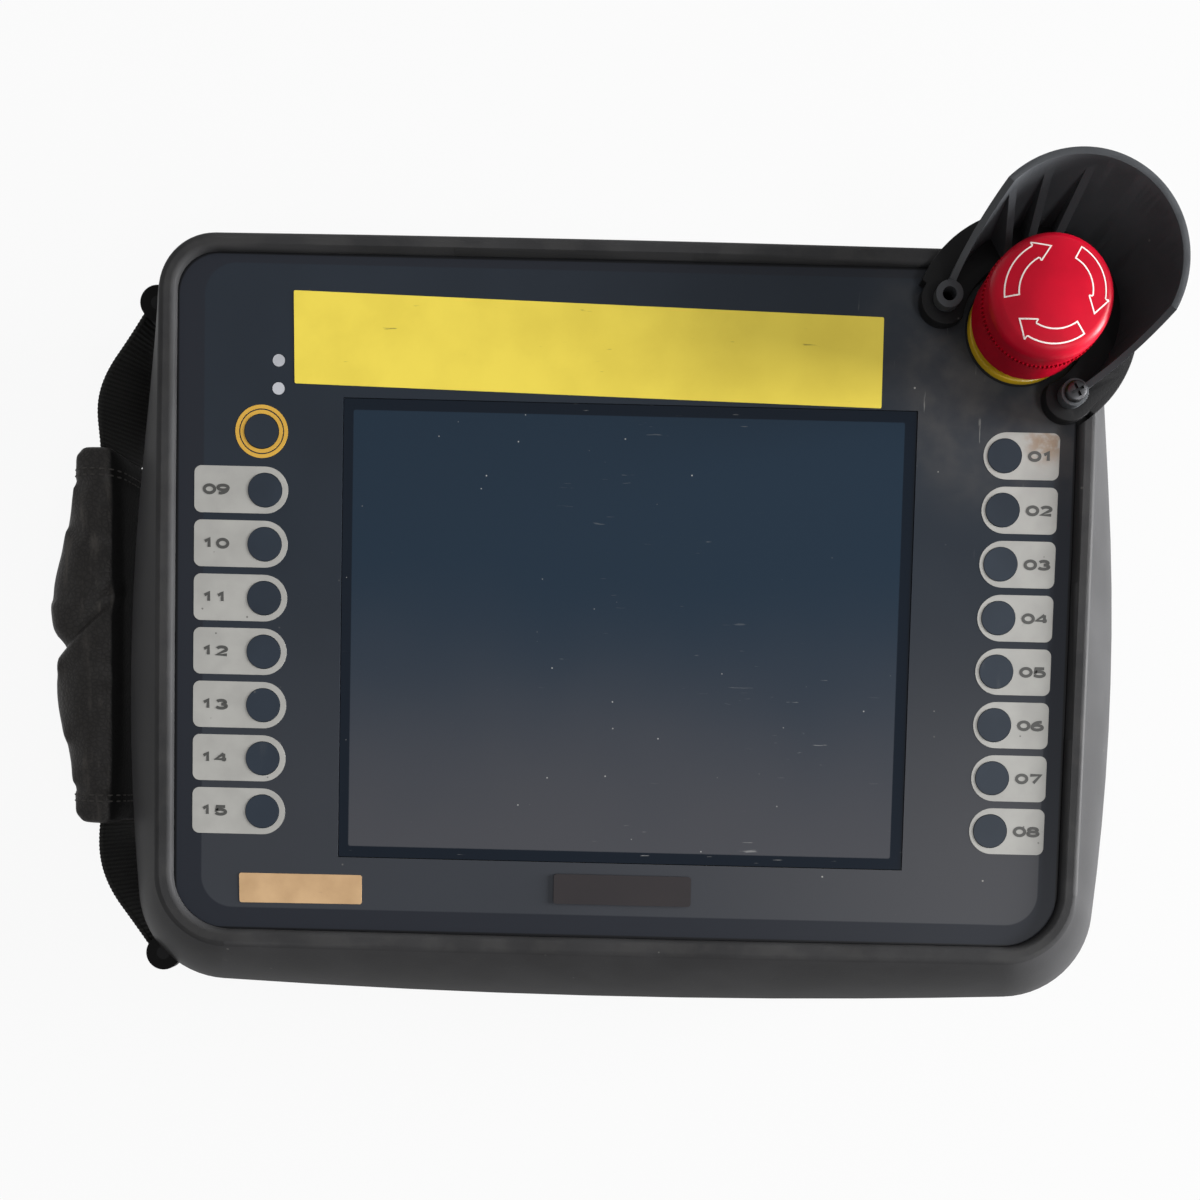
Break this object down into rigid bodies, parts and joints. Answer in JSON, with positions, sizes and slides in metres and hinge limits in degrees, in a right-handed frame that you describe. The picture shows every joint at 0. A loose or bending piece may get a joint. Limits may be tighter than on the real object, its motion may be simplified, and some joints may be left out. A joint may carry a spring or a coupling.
{
  "type": "handheld operator terminal",
  "caption": "Hand-held operator terminal with a touch screen, columns of press keys, a hooded twist-release stop button, a padded hand strap and a rear cable inlet.",
  "frame": {"origin": "on the flat rear face, straight behind the middle of the screen", "axes": "+X to the right along the screen, +Y to the screen's top edge, +Z out of the screen"},
  "size_m": [0.317, 0.2278, 0.0785],
  "materials": {
    "housing": "fine moulded texture",
    "overlay": "printed film, satin",
    "touch_glass": "dark, glossy",
    "lcd_glass": "dark, glossy",
    "sheet_steel": "bright",
    "screws": "plated",
    "chassis": "plain sheet",
    "backlight": "white",
    "boards": "green lacquer",
    "chips": "black",
    "battery": "bright",
    "keys": "satin",
    "lenses": "clear, unlit",
    "stop_red": "glossy",
    "stop_yellow": "glossy",
    "stop_dark": "plain",
    "seals": "matt",
    "guard": "fine moulded texture",
    "guard_base": "black",
    "webbing": "ribbed weave",
    "pad": "worn",
    "gland": "black"
  },
  "bodies": {
    "housing": {"front_case": "housing", "rear_case": "housing", "overlay_sheet": "overlay", "touch_glass": "touch_glass", "lcd_glass": "lcd_glass", "lcd_frame": "sheet_steel", "strap_bars": "sheet_steel", "estop_spring": "sheet_steel", "chassis_screws": "screws", "board_screws": "screws", "key_board_screws": "screws", "case_screws": "screws", "guard_screw": "screws", "chassis_plate": "chassis", "board_standoffs": "chassis", "estop_nut": "chassis", "backlight": "backlight", "main_board": "boards", "inverter_board": "boards", "key_board_left": "boards", "key_board_right": "boards", "board_chips": "chips", "buzzer": "chips", "board_connectors": "chips", "tact_switches": "chips", "estop_contact_block": "chips", "backup_battery": "battery", "indicator_lenses": "lenses", "indicator_leds": "lenses", "estop_collar": "stop_yellow", "estop_bushing": "stop_dark", "case_seal": "seals", "touch_foam": "seals", "estop_seal": "seals", "guard_hood": "guard", "guard_base": "guard_base", "strap_webbing": "webbing", "strap_pad": "pad", "cable_gland": "gland", "gland_nut": "gland"},
    "key_01_cap": {"key_01": "keys"},
    "key_02_cap": {"key_02": "keys"},
    "key_03_cap": {"key_03": "keys"},
    "key_04_cap": {"key_04": "keys"},
    "key_05_cap": {"key_05": "keys"},
    "key_06_cap": {"key_06": "keys"},
    "key_07_cap": {"key_07": "keys"},
    "key_08_cap": {"key_08": "keys"},
    "key_09_cap": {"key_09": "keys"},
    "key_10_cap": {"key_10": "keys"},
    "key_11_cap": {"key_11": "keys"},
    "key_12_cap": {"key_12": "keys"},
    "key_13_cap": {"key_13": "keys"},
    "key_14_cap": {"key_14": "keys"},
    "key_15_cap": {"key_15": "keys"},
    "key_ringed_cap": {"key_ringed": "keys"},
    "stop_stem": {"estop_stem": "stop_dark"},
    "stop_head": {"estop_head": "stop_red"}
  },
  "joints": [
    {"name": "key_01_press", "type": "slide", "parent": "housing", "child": "key_01_cap", "axis": [0, 0, -1], "range_m": [0, 0.0005], "stiffness_N_per_m": 2000},
    {"name": "key_02_press", "type": "slide", "parent": "housing", "child": "key_02_cap", "axis": [0, 0, -1], "range_m": [0, 0.0005], "stiffness_N_per_m": 2000},
    {"name": "key_03_press", "type": "slide", "parent": "housing", "child": "key_03_cap", "axis": [0, 0, -1], "range_m": [0, 0.0005], "stiffness_N_per_m": 2000},
    {"name": "key_04_press", "type": "slide", "parent": "housing", "child": "key_04_cap", "axis": [0, 0, -1], "range_m": [0, 0.0005], "stiffness_N_per_m": 2000},
    {"name": "key_05_press", "type": "slide", "parent": "housing", "child": "key_05_cap", "axis": [0, 0, -1], "range_m": [0, 0.0005], "stiffness_N_per_m": 2000},
    {"name": "key_06_press", "type": "slide", "parent": "housing", "child": "key_06_cap", "axis": [0, 0, -1], "range_m": [0, 0.0005], "stiffness_N_per_m": 2000},
    {"name": "key_07_press", "type": "slide", "parent": "housing", "child": "key_07_cap", "axis": [0, 0, -1], "range_m": [0, 0.0005], "stiffness_N_per_m": 2000},
    {"name": "key_08_press", "type": "slide", "parent": "housing", "child": "key_08_cap", "axis": [0, 0, -1], "range_m": [0, 0.0005], "stiffness_N_per_m": 2000},
    {"name": "key_09_press", "type": "slide", "parent": "housing", "child": "key_09_cap", "axis": [0, 0, -1], "range_m": [0, 0.0005], "stiffness_N_per_m": 2000},
    {"name": "key_10_press", "type": "slide", "parent": "housing", "child": "key_10_cap", "axis": [0, 0, -1], "range_m": [0, 0.0005], "stiffness_N_per_m": 2000},
    {"name": "key_11_press", "type": "slide", "parent": "housing", "child": "key_11_cap", "axis": [0, 0, -1], "range_m": [0, 0.0005], "stiffness_N_per_m": 2000},
    {"name": "key_12_press", "type": "slide", "parent": "housing", "child": "key_12_cap", "axis": [0, 0, -1], "range_m": [0, 0.0005], "stiffness_N_per_m": 2000},
    {"name": "key_13_press", "type": "slide", "parent": "housing", "child": "key_13_cap", "axis": [0, 0, -1], "range_m": [0, 0.0005], "stiffness_N_per_m": 2000},
    {"name": "key_14_press", "type": "slide", "parent": "housing", "child": "key_14_cap", "axis": [0, 0, -1], "range_m": [0, 0.0005], "stiffness_N_per_m": 2000},
    {"name": "key_15_press", "type": "slide", "parent": "housing", "child": "key_15_cap", "axis": [0, 0, -1], "range_m": [0, 0.0005], "stiffness_N_per_m": 2000},
    {"name": "key_ringed_press", "type": "slide", "parent": "housing", "child": "key_ringed_cap", "axis": [0, 0, -1], "range_m": [0, 0.0005], "stiffness_N_per_m": 2000},
    {"name": "stop_push", "type": "slide", "parent": "housing", "child": "stop_stem", "axis": [0, 0, -1], "range_m": [0, 0.0042], "stiffness_N_per_m": 4000, "deforming": ["estop_spring"]},
    {"name": "stop_turn", "type": "hinge", "parent": "stop_stem", "child": "stop_head", "pos_m": [0.1089, 0.087, 0.065], "axis": [0, 0, -1], "range_deg": [0, 35], "stiffness_Nm_per_rad": 0.05}
  ]
}
